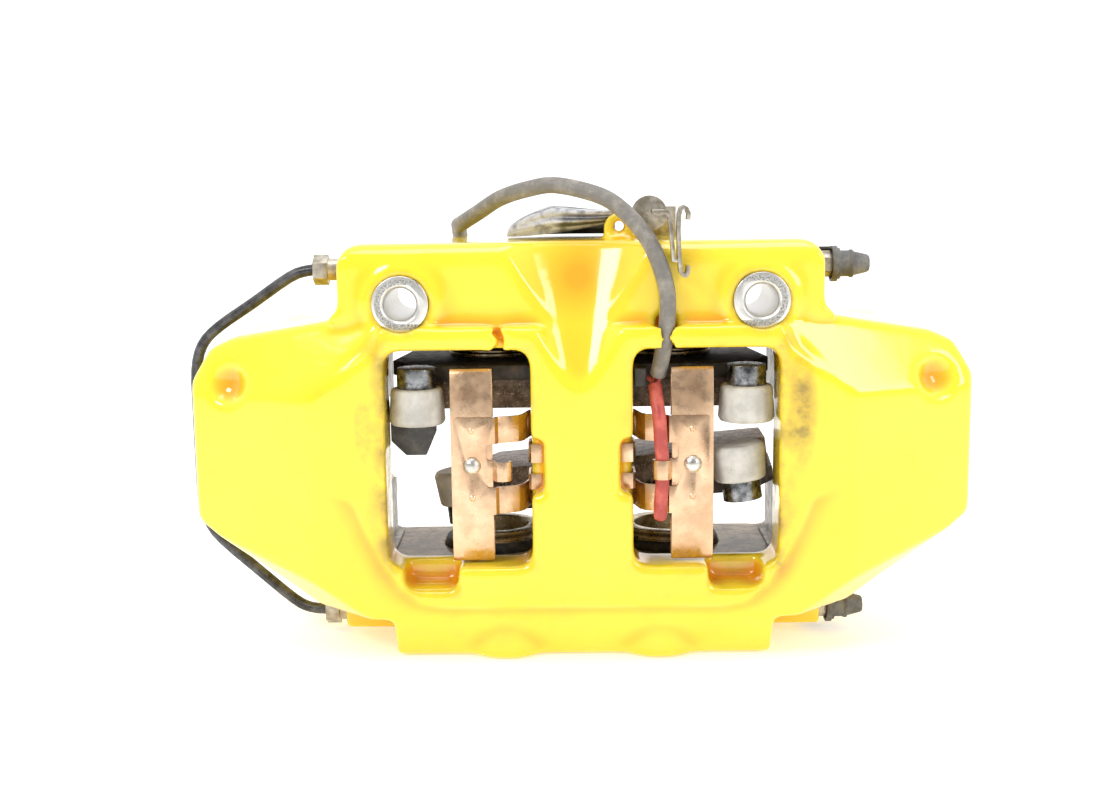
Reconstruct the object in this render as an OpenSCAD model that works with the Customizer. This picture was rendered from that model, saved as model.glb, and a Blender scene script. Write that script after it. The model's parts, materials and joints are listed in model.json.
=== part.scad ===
// Four-piston fixed brake caliper for a vented disc, with pads, pad springs,
// crossover pipe, bleed screws and pad-wear lead.
// Axes: X runs along the disc's rim, Y points towards the disc's centre and Z lies
// along the axle, towards the vehicle. The origin is midway between the two mounting
// bolts, on the mounting face. Lengths are in millimetres.

/* [Mounting] */
// Distance between the two mounting bolts
bolt_spacing = 140; // [138:1:142]
// Clearance bore for the mounting bolts
bush_bore = 12.7; // [12.2:0.1:13.5]
// Outer diameter of the mounting bushes
bush_od = 22; // [20:0.5:22]
// Length of the mounting lugs along the bolt
lug_length = 52; // [48:1:52]

/* [Disc] */
// Distance from the bolt axes to the middle of the disc, along the axle
disc_offset = 65; // [64:0.5:66]
// Thickness of the brake disc
disc_thickness = 32; // [28:1:34]
// Radius of the brake disc
disc_radius = 180; // [176:1:182]

/* [Body] */
// Length of the body along the rim
body_length = 317; // [314:1:320]
// Height of the body above the bolt axes
body_top = 23; // [22:0.5:24]
// Depth of the body below the bolt axes
body_bottom = 145; // [144:0.5:146]
// Length of each pad window along the rim
window_length = 57; // [55:0.5:58]
// Width of the bridge between the windows
bridge_width = 40; // [39:0.5:43]
// Gap between the inboard and the outboard walls
cavity_height = 90; // [89:0.5:90]

/* [Pistons] */
// Piston diameter
piston_d = 38; // [36:1:38]
// Distance between the two pistons on one side
piston_pitch = 74; // [73:1:75]
// Radial clearance between a piston and its bore
piston_fit = 0.05; // [0.03:0.01:0.08]

/* [Pads] */
// Thickness of the steel backplates
backplate_t = 6; // [5:0.5:6]
// Thickness of the friction blocks
friction_t = 12; // [10:0.5:13]
// Diameter of the damper masses at their wide end
mass_d = 22.5; // [20:0.5:23]

/* [Lines] */
// Outer diameter of the crossover pipe
pipe_d = 4.75; // [4.5:0.05:5]
// Outer diameter of the sensor lead
cable_d = 6.5; // [6:0.1:6.6]
// Diameter of the heat-shrink sleeve
sleeve_d = 5.4; // [5:0.1:5.6]

/* [Hidden] */
$fn = 48;
eps = 0.01;
big = 400;

// Heights along the axle
disc_z = -disc_offset;
cavity_top = disc_z + cavity_height / 2;
cavity_floor = disc_z - cavity_height / 2;
ground = -body_bottom;

// Depths, from the rim side (negative) to the hub side (positive)
frame_y = -57;
core_y = -53;
lug_y = -50;
bridge_back = -34;
back_y = 38;
disc_y = bridge_back + 1 + disc_radius;
piston_y = 9;
port_y = -8;
low_block_y = -18;

// Plan features along the rim
bush_x = bolt_spacing / 2;
half = body_length / 2;
lug_half = 95;
window_in = bridge_width / 2;
window_out = window_in + window_length;
cavity_half = 84;
piston_x = piston_pitch / 2;
bore_r = piston_d / 2 + piston_fit;
bore_depth = 28;
port_z = 10.7;
inlet_z = 15;
low_port_z = -135.2;
window_top = -18;
window_low = -104.5;
plinth_half = 76.5;
belly_z = -126;
face_in = cavity_top - 7;
face_out = cavity_floor + 8;

// Colours
yellow = [0.98, 0.86, 0.05];
steel = [0.62, 0.61, 0.58];
plated = [0.35, 0.36, 0.38];
bronze = [0.72, 0.5, 0.33];
rubber = [0.12, 0.12, 0.13];
pad_dark = [0.22, 0.2, 0.19];
cast_grey = [0.66, 0.65, 0.6];
zinc = [0.6, 0.58, 0.52];
cable_grey = [0.4, 0.39, 0.37];
wire_red = [0.75, 0.2, 0.16];
film_black = [0.06, 0.06, 0.07];

// ---------------------------------------------------------------- helpers

// Box given by its lowest and highest corners
module block(low, high) {
    translate(low) cube(high - low);
}

// Rounded rectangle, from its lowest to its highest corner
module rounded(low, high, r) {
    size = high - low;
    translate([low[0] + r, low[1]]) square([size[0] - 2 * r, size[1]]);
    translate([low[0], low[1] + r]) square([size[0], size[1] - 2 * r]);
    for (x = [low[0] + r, high[0] - r], y = [low[1] + r, high[1] - r])
        translate([x, y]) circle(r);
}

// Extrudes an outline drawn in X and Z, from y0 to y1
module along_y(y0, y1) {
    translate([0, y1, 0]) rotate([90, 0, 0]) linear_extrude(y1 - y0) children();
}

// Round bar along Y, Z or X
module bar_y(x, z, y0, y1, r) {
    translate([x, y1, z]) rotate([90, 0, 0]) cylinder(r = r, h = y1 - y0);
}
module bar_z(x, y, z0, z1, r) {
    translate([x, y, z0]) cylinder(r = r, h = z1 - z0);
}
module bar_x(y, z, x0, x1, r) {
    translate([x0, y, z]) rotate([0, 90, 0]) cylinder(r = r, h = x1 - x0);
}

// Half space in front of a plane through p, turned by az about Z and tipped by tilt
module facet(p, az, tilt) {
    translate(p) rotate([0, 0, az]) rotate([tilt, 0, 0])
        translate([-big / 2, -big, -big / 2]) cube(big);
}

// The same thing on both sides of the middle
module both() {
    children();
    mirror([1, 0, 0]) children();
}

// Catmull-Rom point on a route, and the whole route resampled
function spline_point(a, b, c, d, t) =
    0.5 * (2 * b + (c - a) * t + (2 * a - 5 * b + 4 * c - d) * t * t
    + (3 * b - a - 3 * c + d) * t * t * t);
function route(p, steps) = let (n = len(p)) [
    for (i = [0 : n - 2], k = [0 : steps - 1])
        spline_point(p[max(i - 1, 0)], p[i], p[i + 1], p[min(i + 2, n - 1)], k / steps),
    p[n - 1]
];
function unit(v) = v / norm(v);
function tangent(p, i) = unit(p[min(i + 1, len(p) - 1)] - p[max(i - 1, 0)]);
function carried(p, i, up) = let (t = tangent(p, i)) unit(up - (up * t) * t);
function uprights(p, i, up) = i == len(p) ? [] :
    let (u = carried(p, i, up)) concat([u], uprights(p, i + 1, u));

// Round tube swept along a route; a closed end narrows over its last four rings
module sweep(p, r, sides, up, closed_end = false) {
    n = len(p);
    ups = uprights(p, 0, up);
    tip = [1, 0.95, 0.8, 0.45];
    points = [for (i = [0 : n - 1], k = [0 : sides - 1])
        let (a = 360 * k / sides, u = ups[i], v = cross(tangent(p, i), u))
        let (shrink = closed_end && i > n - 5 ? tip[i - n + 4] : 1)
        p[i] + shrink * r * (cos(a) * u + sin(a) * v)];
    walls = [for (i = [0 : n - 2], k = [0 : sides - 1])
        let (m = (k + 1) % sides)
        [i * sides + k, i * sides + m, (i + 1) * sides + m, (i + 1) * sides + k]];
    first = [for (k = [sides - 1 : -1 : 0]) k];
    last = [for (k = [0 : sides - 1]) (n - 1) * sides + k];
    polyhedron(points, concat(walls, [first], [last]), convexity = 8);
}

// ---------------------------------------------------------------- body casting

lug_z = -9;

// Slope of the wings, front edge of the flat between window and wing, and the slope
// of the face above it
wing_slope = 0.37;
wing_x = 107;
wing_y = -54.5;
upper_z = -36.5;
upper_slope = 0.42;

// Outline of the whole casting, seen from the rim side
module body_outline() {
    outline = [[0, body_top], [88, body_top], [92, 21], [lug_half, 16], [lug_half, -2],
        [100, -7], [140, -14.5], [150, -19], [half - 1, -32], [half, -62], [half - 1, -88],
        [121, -116], [108, -128], [101, -131], [101, -141], [plinth_half, -141],
        [plinth_half, ground], [0, ground]];
    polygon(outline);
    mirror([1, 0]) polygon(outline);
}

// Outlines seen along the axle: the casting, and the raised frame around the windows
module body_plan() {
    outline = [[0, core_y], [80, core_y], [wing_x, wing_y], [half - 2, -36], [half, -27],
        [half, 12], [148, 26], [120, 34], [70, back_y], [0, back_y]];
    polygon(outline);
    mirror([1, 0]) polygon(outline);
}
module frame_plan() {
    outline = [[0, frame_y], [80, frame_y], [wing_x, wing_y], [wing_x, 0], [0, 0]];
    polygon(outline);
    mirror([1, 0]) polygon(outline);
}
module frame_outline() {
    outline = [[0, lug_z], [78, lug_z], [84, -19], [wing_x, upper_z], [wing_x, -67.5], [95, -75.5],
        [90.5, -78], [85.5, -90], [79.5, -103], [72, -113.5], [64, -119.5], [54, -121], [0, -121]];
    polygon(outline);
    mirror([1, 0]) polygon(outline);
}

// Turns of a facet whose front face drops back by along per unit of X and up per unit of Z
function facet_az(along) = atan(along);
function facet_tilt(along, up) = -asin(up / sqrt(1 + along * along + up * up));
module sloped_facet(p, along, up) {
    facet(p, facet_az(along), facet_tilt(along, up));
}

module body_blank() {
    difference() {
        union() {
            intersection() {
                along_y(core_y - 4, back_y) body_outline();
                translate([0, 0, ground]) linear_extrude(body_top - ground) body_plan();
            }
            intersection() {
                along_y(frame_y, core_y + 4) frame_outline();
                translate([0, 0, ground]) linear_extrude(body_top - ground) frame_plan();
            }
        }
        // Faces of the wings above and below their flat middle
        both() intersection() {
            sloped_facet([wing_x, wing_y, upper_z], wing_slope, upper_slope);
            block([80, -100, -60], [200, 60, lug_z + 2]);
        }
        both() intersection() {
            sloped_facet([92, -53.5, -121], 0.93, -1.4);
            block([plinth_half, -100, ground - 1], [200, 60, -80]);
        }
        // Lugs and the blocks of the lower ports stand back from the front
        block([-big, -big, lug_z], [big, lug_y, big]);
        both() block([plinth_half, -big, ground - 1], [big, low_block_y, -127]);
        // Top edge of the lug block, and the underside of the outboard wall
        facet([0, lug_y, body_top - 4.5], 0, -45);
        facet([0, core_y, belly_z], 0, 30);
        // Hub side of the inboard and outboard walls
        intersection() {
            translate([0, back_y, 4]) rotate([45, 0, 0]) block([-big, 0, -big], [big, big, big]);
            block([-big, 0, 0], [big, big, big]);
        }
        intersection() {
            translate([0, back_y - 10, ground]) rotate([-45, 0, 0]) block([-big, 0, -big], [big, big, big]);
            block([-big, 0, -big], [big, big, ground + 14]);
        }
    }
    // Bosses under the outboard pistons
    both() bar_z(31, -31, ground, belly_z + 1, 18.5);
    // Seats for the mounting bushes
    both() bar_y(bush_x, 0, -lug_length, 0, 15);
    // Cable ear between the lugs
    bar_y(16, body_top + 4, -28, -20, 6.5);
}

// Valley that runs up between the lugs: it fades out on the bridge
module valley() {
    translate([-1, -64.9, -36]) rotate([6.8, 0, 0]) cylinder(r1 = 7.3, r2 = 47.1, h = 76.5);
}

// Seat, wall and seal groove of one piston, at the cavity wall at z, facing up or down
module piston_bore(x, z, up) {
    mirror([0, 0, up > 0 ? 0 : 1]) translate([x, piston_y, up > 0 ? z : -z]) {
        translate([0, 0, -eps]) cylinder(r = bore_r, h = bore_depth + eps);
        translate([0, 0, 9]) cylinder(r = bore_r + 2.4, h = 3.4);
        translate([0, 0, -eps]) cylinder(r = bore_r + 3.4, h = 3);
    }
}

// Inboard galleries rise over the bushes, then drop into the bores
gallery_x = 42;
gallery_rise = atan(0.14);
module galleries() {
    both() translate([-90, port_y, port_z]) rotate([0, 90 - gallery_rise, 0])
        cylinder(r = 2, h = 49.2);
    both() bar_z(gallery_x, port_y, 0, 18, 2);
    bar_x(port_y, inlet_z, -gallery_x, gallery_x, 2);
    bar_x(port_y, low_port_z, -lug_half, lug_half, 2);
    bar_y(0, inlet_z, port_y, big, 2);
    // Threaded inlet and the ports of the pipe nuts and bleed screws
    bar_y(0, inlet_z, back_y - 26, big, 4.5);
    for (z = [port_z, low_port_z]) {
        bar_x(port_y, z, -lug_half - 10, 12.5 - lug_half, 4.5);
        bar_x(port_y, z, lug_half - 12.5, lug_half + 10, 4);
    }
    // Spot faces around the inlet and the lower bleed screw
    bar_y(0, inlet_z, 24, big, 8);
    bar_x(port_y, low_port_z, lug_half + 0.3, lug_half + 20, 8);
}

// Teeth that hold the lead in its slot
module lead_teeth() {
    along_y(frame_y, frame_y + 1.6) {
        polygon([[28, -9.2], [31.6, -10], [30.6, -12], [32.2, -14], [31, -16], [32, -17.9], [28, -17.9]]);
        polygon([[38.5, -9.2], [36, -9.4], [33.6, -13.6], [36.4, -17.9], [38.5, -17.9]]);
    }
}

module caliper_body() {
    color(yellow) difference() {
        body_blank();
        // Pad cavity, open towards the hub
        block([-cavity_half, bridge_back, cavity_floor], [cavity_half, big, cavity_top]);
        // Windows
        both() along_y(frame_y - 10, bridge_back + 2)
            rounded([window_in, window_low], [window_out, window_top], 6);
        // Path of the disc
        translate([0, disc_y, disc_z - disc_thickness / 2 - 3])
            cylinder(r = disc_radius + 4, h = disc_thickness + 6);
        // Notches in the lip above the windows: an arrow-shaped groove, and the slot of the lead
        along_y(frame_y - 5, frame_y + 8) polygon([[-35.3, -19], [-31.9, -14.2], [-36.3, -9.5],
            [-31.3, -9.5], [-29.6, -13.9], [-31.1, -19]]);
        difference() {
            along_y(frame_y - 5, bridge_back) rounded([29, -26], [37, -5], 3);
            lead_teeth();
        }
        // Hook notches in the bridge
        both() block([window_in - 5, frame_y - 5, -75], [window_in + 5, frame_y + 11, -53]);
        valley();
        // Room for the upright behind each lug
        both() block([54, 0, -12], [half + 10, big, body_top + 10]);
        // Pockets under the windows
        both() along_y(frame_y - 10, -40) rounded([49.5, -113.5], [71, -96], 4);
        // Bush seats and pistons
        both() bar_y(bush_x, 0, -big, big, bush_od / 2);
        for (x = [-piston_x, piston_x]) {
            piston_bore(x, cavity_top, 1);
            piston_bore(x, cavity_floor, -1);
        }
        galleries();
        // Dimples on the wings
        both() translate([143, -44.2, -30.7]) sphere(r = 10);
        // Screw holes for the bracket and the ear
        bar_y(16, body_top + 5, -40, 0, 2.6);
        bar_z(33, 4, body_top - 12, big, 3);
    }
}

module mount_bush(side) {
    color(steel) difference() {
        bar_y(side * bush_x, 0, -lug_length - 1.2, 0, bush_od / 2);
        bar_y(side * bush_x, 0, -big, big, bush_bore / 2);
        translate([side * bush_x, -lug_length - 1.2 - eps, 0]) rotate([-90, 0, 0])
            cylinder(r1 = bush_bore / 2 + 1.2, r2 = bush_bore / 2, h = 1.2);
    }
}

// ---------------------------------------------------------------- pistons

// A part that sits on a cavity wall, in its own frame: z = 0 on the wall, into the body
module at_bore(side, inboard) {
    translate([side * piston_x, piston_y, inboard ? cavity_top : cavity_floor])
        mirror([0, 0, inboard ? 0 : 1]) children();
}

module piston(side, inboard) {
    length = inboard ? 26 : 23;
    proud = inboard ? 7 : 8;
    color(steel) at_bore(side, inboard) translate([0, 0, -proud]) difference() {
        cylinder(d = piston_d, h = length);
        translate([0, 0, -eps]) cylinder(r = piston_d / 2 - 5, h = length - 5);
        translate([0, 0, 2]) rotate_extrude()
            translate([piston_d / 2 - 0.8, 0]) square([2, 2]);
    }
}

module piston_seal(side, inboard) {
    color(rubber) at_bore(side, inboard) translate([0, 0, 9.1]) difference() {
        cylinder(r = bore_r + 2.3, h = 3.2);
        translate([0, 0, -1]) cylinder(r = piston_d / 2 + 0.03, h = 6);
    }
}

module dust_boot(side, inboard) {
    inner = piston_d / 2 + 0.08;
    color(rubber) at_bore(side, inboard) rotate_extrude()
        polygon([[inner, 2.9], [bore_r + 3.3, 2.9], [bore_r + 3.3, -0.6], [22.4, -1.4],
            [21.6, -3.2], [20.2, -3.8], [inner, -3.4]]);
}

// ---------------------------------------------------------------- pads

// Pad outline seen along the axle: clipped corners at the rim, ends towards the hub
module pad_outline(half_rim, half_end, y0, y1) {
    polygon([[-half_rim, y0], [half_rim, y0], [half_end, y0 + 19], [half_end - 6, y1],
        [6 - half_end, y1], [-half_end, y0 + 19]]);
}

stud_spread = 65.4;
outer_stud_spread = 58.9;
stud_y = -42;
outer_stud_y = -40;
stud_d = 15.5;
stud_len = 8;
mass_len = 14.5;
ear_w = 9;

module backplate(half_rim, half_end, y1, spread, y) {
    linear_extrude(backplate_t) {
        pad_outline(half_rim, half_end, -31, y1);
        for (x = [-spread, spread]) translate([x - ear_w / 2, y - 2]) square([ear_w, 12]);
    }
}

module friction(half_rim, half_end, y1) {
    depth = 3.5;
    translate([0, 0, backplate_t]) difference() {
        linear_extrude(friction_t) pad_outline(half_rim, half_end, -28, y1);
        translate([-1.5, -40, friction_t - depth]) cube([3, 80, friction_t]);
    }
}

// Plated core of a damper mass, slotted over the ear of the backplate
module stud(x, y) {
    difference() {
        translate([x, y, -1]) cylinder(d = stud_d, h = stud_len);
        translate([x - ear_w / 2, y - 2, 0]) cube([ear_w, 20, backplate_t]);
        block([x - stud_d, -31, 0], [x + stud_d, 0, backplate_t]);
    }
}

module mass(x, y) {
    translate([x, y, stud_len - 1]) rotate_extrude()
        polygon([[0, 0], [9.6, 0], [10.3, 0.9], [mass_d / 2, mass_len - 1.6],
            [mass_d / 2 - 1, mass_len], [0, mass_len]]);
}

// Places of the two pads: z = 0 is the back of the backplate, +z is towards the disc
module on_inboard() {
    translate([0, 0, face_in - 0.1]) mirror([0, 0, 1]) children();
}
module on_outboard() {
    translate([18.3, 12.7, -87.4]) rotate([0, -7.5, -15]) children();
}

// ---------------------------------------------------------------- abutments and springs

module abutment(side, inboard) {
    z0 = inboard ? -46 : cavity_floor;
    z1 = inboard ? cavity_top : -84.5;
    foot = inboard ? z1 - 1.4 : z0;
    color(steel) mirror([side > 0 ? 0 : 1, 0, 0]) {
        block([cavity_half - 1.6, -30, z0], [cavity_half, 26, z1]);
        block([cavity_half - 4.5, -30, foot], [cavity_half, 26, foot + 1.4]);
    }
}

band_x = 43.5;
band_w = 16.5;
band_t = 0.8;
band_top = -26;
band_low = -103.5;

// Leaf seen along the rim: front leaf with both ends folded back
module band_profile() {
    front = [[-49, band_low + 2], [-50.5, -84], [-50.5, -46], [-49, band_top - 2]];
    y_fold = -46.5;
    polygon([front[0], front[1], front[2], front[3], [-47.8, band_top], [y_fold, band_top - 0.4],
        [y_fold + 1.6, band_top - 3], [-42.5, -46], [-43.4, -46.1], [y_fold + 0.6, band_top - 3.4],
        [y_fold - 0.4, band_top - 1.3], [-47.8, band_top - 1], [-48.2, band_top - 2.4],
        [-49.7, -46], [-49.7, -84], [-48.2, band_low + 2.4], [-47.8, band_low + 1],
        [y_fold - 0.4, band_low + 1.3], [y_fold + 0.6, band_low + 3.4], [-43.4, -88],
        [-42.5, -88.2], [y_fold + 1.6, band_low + 3], [y_fold, band_low + 0.4],
        [-47.8, band_low]]);
}

module spring_band(side) {
    color(bronze) difference() {
        translate([side * band_x - band_w / 2, 0, 0])
            rotate([90, 0, 90]) linear_extrude(band_w) band_profile();
        bar_y(side * band_x, rivet_z, -60, -40, 1.8);
    }
}

clip_y = -50.5;
clip_t = 0.9;
rivet_z = -64.3;
plate_x = 34.7;
sleeve_at = [31.4, -52.3];
tongue_r = sleeve_d / 2 + 0.2;

// Sheet bent along a path, drawn in X and Y, with thickness t to its left
function left_of(a, b) = let (d = unit(b - a)) [-d[1], d[0]];
module ribbon(p, t) {
    n = len(p);
    side = [for (i = [0 : n - 1])
        let (a = left_of(p[max(i - 1, 0)], p[max(i, 1)]),
            b = left_of(p[min(i, n - 2)], p[min(i + 1, n - 1)]), m = unit(a + b))
        p[i] + m * t / (m * a)];
    polygon(concat(p, [for (i = [n - 1 : -1 : 0]) side[i]]));
}
module bent_sheet(z0, z1, p, t) {
    translate([0, 0, z0]) linear_extrude(z1 - z0) ribbon(p, t);
}

// Clip plate on the right-hand band: plate, two arms under the bridge, middle tongue
// and two hooks that grip the notch in the bridge
module right_clip() {
    arm = [[16, -32.8], [21.2, -32.9], [23.8, -43], [25.6, -45.6], [30, -47.4], [33.6, -48.7],
        [plate_x, clip_y], [plate_x + 2, clip_y]];
    hook = [[19.5, -32.9], [20.4, -34.6], [20.4, -45.6], [19.7, -46.6], [15.8, -46.6]];
    tongue = concat([[plate_x + 2, clip_y], [plate_x, clip_y]],
        [for (a = [0 : 30 : 210]) sleeve_at + tongue_r * [cos(a), -sin(a)]]);
    difference() {
        along_y(clip_y - clip_t, clip_y) rounded([plate_x, -84], [50.6, -45], 1.5);
        bar_y(band_x, rivet_z, -60, -40, 1.8);
        // Round ends of the slots beside the tongue
        for (z = [[-62.2, -55.6], [-73.2, -69.8]])
            along_y(-60, -40) rounded([plate_x - 6, z[0]], [plate_x + 3.2, z[1]], 1.6);
    }
    // Two pips beside the rivet
    for (z = [rivet_z - 13, rivet_z + 14]) translate([band_x, clip_y - clip_t + 0.1, z])
        rotate([90, 0, 0]) cylinder(r1 = 1.4, r2 = 0.7, h = 0.6);
    for (z = [[-55.6, -45], [-84, -73.2]]) bent_sheet(z[0], z[1], arm, -clip_t);
    for (z = [[-64, -56.6], [-74.8, -68.6]]) bent_sheet(z[0], z[1], hook, clip_t);
    bent_sheet(-69.8, -62.2, tongue, clip_t);
    // Spine under the bridge that joins arms and hooks
    block([16, -33.7, -84], [20.2, -32.8, -45]);
}

module spring_clip(side) {
    color(bronze) mirror([side > 0 ? 0 : 1, 0, 0]) right_clip();
}

module spring_rivet(side) {
    color(steel) {
        bar_y(side * band_x, rivet_z, clip_y - clip_t, clip_y + 2.4, 1.75);
        bar_y(side * band_x, rivet_z, clip_y + 0.8, clip_y + 2.4, 3);
        intersection() {
            translate([side * band_x, clip_y - clip_t + 1.9, rivet_z]) sphere(r = 4.1);
            bar_y(side * band_x, rivet_z, -60, clip_y - clip_t, 6);
        }
    }
}

// ---------------------------------------------------------------- pipe and bleed screws

pipe_points = [
    [-100, port_y, port_z], [-107, port_y, port_z], [-113, -7.6, 10.4], [-121, -6, 7.6],
    [-138, -1, -3.6], [-154, 4, -14], [-162, 7, -22], [-165.3, 8, -33], [-165.6, 8, -50],
    [-165.6, 8, -70], [-165.4, 8, -90], [-163, 7, -99], [-157, 5, -107], [-140, 0.5, -120.4],
    [-125, -3.6, -131.8], [-117, -6.6, -134.8], [-108, port_y, low_port_z], [-100, port_y, low_port_z]
];

module crossover_pipe() {
    color(plated) sweep(route(pipe_points, 3), pipe_d / 2, 12, [0, 1, 0]);
}

module pipe_nut(z) {
    color(zinc) difference() {
        union() {
            bar_x(port_y, z, -104, -84, 4.45);
            translate([-110, port_y, z]) rotate([0, 90, 0]) cylinder(d = 12.7, h = 6, $fn = 6);
        }
        bar_x(port_y, z, -big, big, pipe_d / 2 + 0.05);
    }
}

// Bleed screw along +X from the body's side
module bleed_screw(z) {
    color(zinc) difference() {
        union() {
            bar_x(port_y, z, lug_half - 12.4, lug_half + 3, 3.95);
            translate([lug_half + 3, port_y, z]) rotate([0, 90, 0]) cylinder(d = 11, h = 7, $fn = 6);
            bar_x(port_y, z, lug_half + 10, lug_half + 20, 3);
        }
        bar_x(port_y, z, lug_half - 9, lug_half + 30, 1);
    }
}

module bleed_cap(z) {
    base = lug_half + 10.2;
    color(rubber) translate([0, port_y, z]) {
        rotate([0, 90, 0]) translate([0, 0, base]) rotate_extrude()
            polygon([[3.05, 0], [6.5, 0], [6.5, 2.2], [5.4, 2.6], [5.4, 6.2], [5.8, 6.6],
                [5.8, 7.6], [5, 8.2], [3.7, 13.6], [3.2, 14.4], [0, 14.4], [0, 10.4], [3.05, 10.4]]);
        // Collar and the strap that ties the cap to it
        difference() {
            rotate([0, 90, 0]) translate([0, 0, lug_half + 0.4]) cylinder(r = 7.4, h = base + 0.6 - lug_half);
            rotate([0, 90, 0]) cylinder(r = 6.4, h = big);
            block([lug_half + 2.6, -20, -20], [base - 1.2, 2.5, 20]);
            block([lug_half + 2.6, -20, -20], [base - 1.2, 20, -1]);
        }
    }
}

// ---------------------------------------------------------------- bracket, lead and film

// Sheet bent along a path drawn in X and Z, from y0 to y1
module side_sheet(y0, y1, p, t) {
    translate([0, y1, 0]) rotate([90, 0, 0]) linear_extrude(y1 - y0) ribbon(p, t);
}

module lead_bracket() {
    leg = [[30, 33.5], [32.6, 33.5], [33.4, 32.4], [33.8, 29], [35, 15.6], [38.2, 14.8]];
    blade = [[41.9, 31.4], [42, 34], [41, 36.1], [39.4, 37], [37.7, 36.2], [36.9, 33.6], [36.7, 28],
        [36.9, 20], [37.2, 15], [37.6, 11.6], [38.9, 9.6], [40.4, 9.4], [41.6, 10.8], [41.9, 13.8]];
    color(zinc) {
        // Foot on the casting, riser and strap over the top of the body
        difference() {
            block([24, -6, body_top], [42, 12, body_top + 1.5]);
            bar_z(33, 4, 0, 60, 3.1);
        }
        block([24, -7.5, body_top], [40, -6, 35]);
        block([24, -36, 33.5], [34, -6, 35]);
        block([28, -56, 33.5], [32.4, -34, 35]);
        bar_y(27.5, 33.2, -36, -34.6, 7);
        // Leg down the front, and the curled blade that guides the lead
        side_sheet(-56, -51, leg, 1.5);
        side_sheet(-57.4, -52, blade, 1.5);
    }
}

module bracket_bolt() {
    color(steel) {
        bar_z(33, 4, body_top - 11, body_top + 1.5, 2.95);
        translate([33, 4, body_top + 1.5]) cylinder(d = 11.5, h = 4.5, $fn = 6);
    }
}

lead_points = [
    [30.4, -43, -29.5], [31.6, -47.4, -22.5], [32.6, -51.6, -14], [33.4, -54, -5], [33, -55.3, 4.7],
    [30, -54.6, 15.3], [25, -51, 25.5], [17.4, -46, 34.2], [8, -41, 40.5], [-9, -32, 44.6],
    [-21, -25, 43], [-32, -17, 39.4], [-41, -8, 33.8], [-49.5, 4, 28.5], [-51.5, 20, 26.6],
    [-51.5, 34, 18], [-50.5, 43, 2], [-49, 44, -20], [-48, 44, -60], [-47, 46, -95],
    [-45, 51, -117], [-42, 61, -132], [-37, 75, -140], [-28, 88, -141.7], [-14, 97, -141.7],
    [0, 100, -141.7], [14, 98, -141.7], [28, 91, -141.7], [40, 82, -141.7], [54, 76, -141.7],
    [68, 74, -141.7]
];
wire_points = [[29.6, -41.4, -29.1], [29.2, -41, -31.4], [28.2, -40.4, -32.6], [25.8, -39, -31]];
link_points = [[31, -44.2, -30.1], [30.6, -44.7, -32.2], [29.4, -44.8, -35]];
sleeve_points = [
    [29.2, -44.6, -34], [29.6, -49, -40], [30.4, -51.8, -46], [30.8, -52.3, -54],
    [31.4, -52.3, -62], [31.4, -52.3, -71], [30.8, -52.6, -79], [30.5, -53, -87]
];

module sensor_lead() {
    color(cable_grey) sweep(route(lead_points, 2), cable_d / 2, 10, [0, 1, 0]);
}

module lead_connector() {
    color(rubber) translate([68, 74, -141.5]) rotate([0, 0, -8]) {
        rotate([0, 90, 0]) cylinder(d = 7, h = 6);
        block([6, -7, -3.5], [28, 7, 6.5]);
        block([10, -3, 6.5], [22, 3, 8.5]);
    }
}

module port_film() {
    color(film_black) difference() {
        translate([-7, -4, body_top]) rotate_extrude() polygon([[0, 0.2], [23, 0.2],
            [22, 5], [14, 11], [5, 13], [0, 13]]);
        translate([0, 0, -1]) block([-60, 14, 0], [60, 60, 80]);
    }
}

module sensor_wire() {
    color(wire_red) for (points = [wire_points, link_points])
        sweep(route(points, 3), 0.9, 8, [0, 1, 0]);
}

module sensor_sleeve() {
    color(wire_red) sweep(route(sleeve_points, 4), sleeve_d / 2, 10, [0, 1, 0], true);
}

// Wear sensors, plugged into the rim side of the inboard pad
module wear_sensor_left() {
    top = face_in - 0.1 - backplate_t;
    color(pad_dark) along_y(-30.5, -28)
        polygon([[-66, top], [-77.6, -42], [-77.6, -57.8], [-71.6, -63.8], [-63.3, -63.8],
            [-59, -53.9], [-59, top]]);
}
module wear_sensor_right() {
    color(pad_dark) block([21.2, -41, -35], [26, -31.2, -27.5]);
}

// ---------------------------------------------------------------- the assembly

caliper_body();
mount_bush(-1);  // mount_bush_left
mount_bush(1);  // mount_bush_right
piston(-1, true);  // piston_inboard_left
piston(1, true);  // piston_inboard_right
piston(-1, false);  // piston_outboard_left
piston(1, false);  // piston_outboard_right
piston_seal(-1, true);  // seal_inboard_left
piston_seal(1, true);  // seal_inboard_right
piston_seal(-1, false);  // seal_outboard_left
piston_seal(1, false);  // seal_outboard_right
dust_boot(-1, true);  // boot_inboard_left
dust_boot(1, true);  // boot_inboard_right
dust_boot(-1, false);  // boot_outboard_left
dust_boot(1, false);  // boot_outboard_right
color(pad_dark) on_inboard() backplate(66, 78, 28, stud_spread, stud_y);  // backplate_inboard
color(pad_dark) on_inboard() friction(62, 74, 24);  // friction_inboard
color(pad_dark) on_outboard() backplate(61, 68, 20, outer_stud_spread, outer_stud_y);  // backplate_outboard
color(pad_dark) on_outboard() friction(54, 66, 17);  // friction_outboard
color(plated) on_inboard() stud(-stud_spread, stud_y);  // stud_inboard_left
color(plated) on_inboard() stud(stud_spread, stud_y);  // stud_inboard_right
color(plated)  // stud_outboard_left
    on_outboard() stud(-outer_stud_spread, outer_stud_y);
color(plated)  // stud_outboard_right
    on_outboard() stud(outer_stud_spread, outer_stud_y);
color(cast_grey) on_inboard() mass(-stud_spread, stud_y);  // mass_inboard_left
color(cast_grey) on_inboard() mass(stud_spread, stud_y);  // mass_inboard_right
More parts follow.
